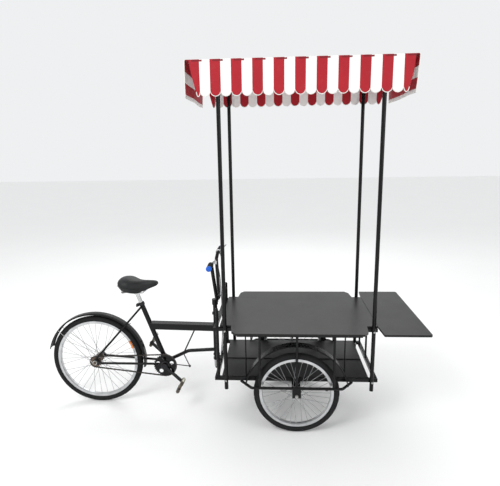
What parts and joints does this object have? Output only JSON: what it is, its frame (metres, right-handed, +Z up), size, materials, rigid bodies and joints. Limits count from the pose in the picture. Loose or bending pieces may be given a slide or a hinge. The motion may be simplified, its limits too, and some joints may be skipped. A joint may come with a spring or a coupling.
{
  "type": "pedal vending cart",
  "caption": "Steered pedal cargo cart with a serving table, hinged drop leaf and a striped cloth canopy on slim posts, for selling goods on the street.",
  "frame": {"origin": "on the ground below the middle of the whole cart's bounding box, on the centre line", "axes": "+X from the rider's end towards the drop leaf, +Y to the cart's far side, +Z up"},
  "size_m": [2.3074, 0.734, 2.066],
  "materials": {
    "black_steel": "satin black paint",
    "floor_sheet": "matt black paint",
    "table_laminate": "dark satin laminate",
    "canopy_cloth": "red and white striped coated cloth",
    "zinc_steel": "zinc plated",
    "silver_alloy": "satin",
    "chrome": "bright",
    "black_rubber": "matt",
    "blue_rubber": "matt",
    "tyre_rubber": "matt",
    "saddle_cover": "black coated cloth",
    "pedal_plastic": "cloudy light plastic"
  },
  "bodies": {
    "cart": {"base_rails": "black_steel", "base_cross_members": "black_steel", "floor_panel": "floor_sheet", "wheel_guards": "black_steel", "mudguards": "black_steel", "axle_plates": "black_steel", "front_axles": "zinc_steel", "frame_uprights": "black_steel", "table_frame": "black_steel", "table_top": "table_laminate", "table_hinges": "zinc_steel", "canopy_posts": "black_steel", "post_bolts": "zinc_steel", "canopy_frame": "black_steel", "canopy": "canopy_cloth", "steering_column": "black_steel", "column_brackets": "black_steel", "handlebar": "black_steel", "handlebar_stem": "black_steel", "grip_near": "blue_rubber", "grip_far": "black_rubber", "brake_perches": "silver_alloy", "cable_near": "black_rubber", "cable_far": "black_rubber", "cable_grommets": "black_rubber"},
    "near_brake_lever": {"brake_lever_near": "silver_alloy"},
    "far_brake_lever": {"brake_lever_far": "silver_alloy"},
    "drop_leaf": {"drop_leaf": "table_laminate", "drop_leaf_hinges": "zinc_steel"},
    "rear_frame": {"main_beam": "black_steel", "head_tube": "black_steel", "lower_tube": "black_steel", "buffer": "black_rubber", "seat_tube": "black_steel", "bottom_bracket": "black_steel", "chain_stays": "black_steel", "seat_stays": "black_steel", "drop_outs": "black_steel", "rear_axle": "zinc_steel", "fender": "black_steel", "fender_stays": "zinc_steel", "chain": "zinc_steel", "seat_clamp": "zinc_steel"},
    "rear_wheel": {"rear_tyre": "tyre_rubber", "rear_rim": "silver_alloy", "rear_spokes": "silver_alloy", "rear_hub": "silver_alloy"},
    "crank": {"crank_arms": "chrome", "chainring": "black_steel"},
    "near_pedal": {"pedal_near": "pedal_plastic"},
    "far_pedal": {"pedal_far": "pedal_plastic"},
    "saddle": {"seat_post": "chrome", "saddle": "saddle_cover"},
    "quick_lever": {"quick_lever": "silver_alloy"},
    "near_wheel": {"near_tyre": "tyre_rubber", "near_rim": "silver_alloy", "near_spokes": "silver_alloy"},
    "far_wheel": {"far_tyre": "tyre_rubber", "far_rim": "silver_alloy", "far_spokes": "silver_alloy"}
  },
  "joints": [
    {"name": "steer", "type": "hinge", "parent": "cart", "child": "rear_frame", "pos_m": [-0.06125, 0, 0.4], "axis": [0, 0, 1], "range_deg": [-35, 35]},
    {"name": "rear_wheel_spin", "type": "hinge", "parent": "rear_frame", "child": "rear_wheel", "pos_m": [-0.84325, 0, 0.298], "axis": [0, 1, 0], "continuous": true},
    {"name": "crank_spin", "type": "hinge", "parent": "rear_frame", "child": "crank", "pos_m": [-0.39025, 0, 0.28], "axis": [0, 1, 0], "continuous": true},
    {"name": "near_pedal_spin", "type": "hinge", "parent": "crank", "child": "near_pedal", "pos_m": [-0.28184, -0.1, 0.17346], "axis": [0, 1, 0], "continuous": true},
    {"name": "far_pedal_spin", "type": "hinge", "parent": "crank", "child": "far_pedal", "pos_m": [-0.49867, 0.1, 0.38654], "axis": [0, 1, 0], "continuous": true},
    {"name": "near_wheel_spin", "type": "hinge", "parent": "cart", "child": "near_wheel", "pos_m": [0.43575, -0.2875, 0.247], "axis": [0, 1, 0], "continuous": true},
    {"name": "far_wheel_spin", "type": "hinge", "parent": "cart", "child": "far_wheel", "pos_m": [0.43575, 0.2875, 0.247], "axis": [0, 1, 0], "continuous": true},
    {"name": "drop_leaf_fold", "type": "hinge", "parent": "cart", "child": "drop_leaf", "pos_m": [0.89375, 0, 0.6255], "axis": [0, 1, 0], "range_deg": [0, 90]},
    {"name": "near_brake_squeeze", "type": "hinge", "parent": "cart", "child": "near_brake_lever", "pos_m": [-0.02915, -0.15611, 0.99374], "axis": [0.5736, 0, -0.8192], "range_deg": [0, 13], "stiffness_Nm_per_rad": 1.5, "springref_deg": -9.74},
    {"name": "far_brake_squeeze", "type": "hinge", "parent": "cart", "child": "far_brake_lever", "pos_m": [-0.02915, 0.15611, 0.99374], "axis": [-0.5736, 0, 0.8192], "range_deg": [0, 13], "stiffness_Nm_per_rad": 1.5, "springref_deg": -9.74},
    {"name": "saddle_height", "type": "slide", "parent": "rear_frame", "child": "saddle", "axis": [-0.3305, 0, 0.9438], "range_m": [-0.04, 0.04]},
    {"name": "quick_lever_turn", "type": "hinge", "parent": "rear_frame", "child": "quick_lever", "pos_m": [-0.55399, -0.022, 0.67191], "axis": [0, -1, 0], "range_deg": [0, 150]}
  ],
  "couplings": [
    {"joint": "crank_spin", "follows": "rear_wheel_spin", "ratio": 0.5}
  ]
}
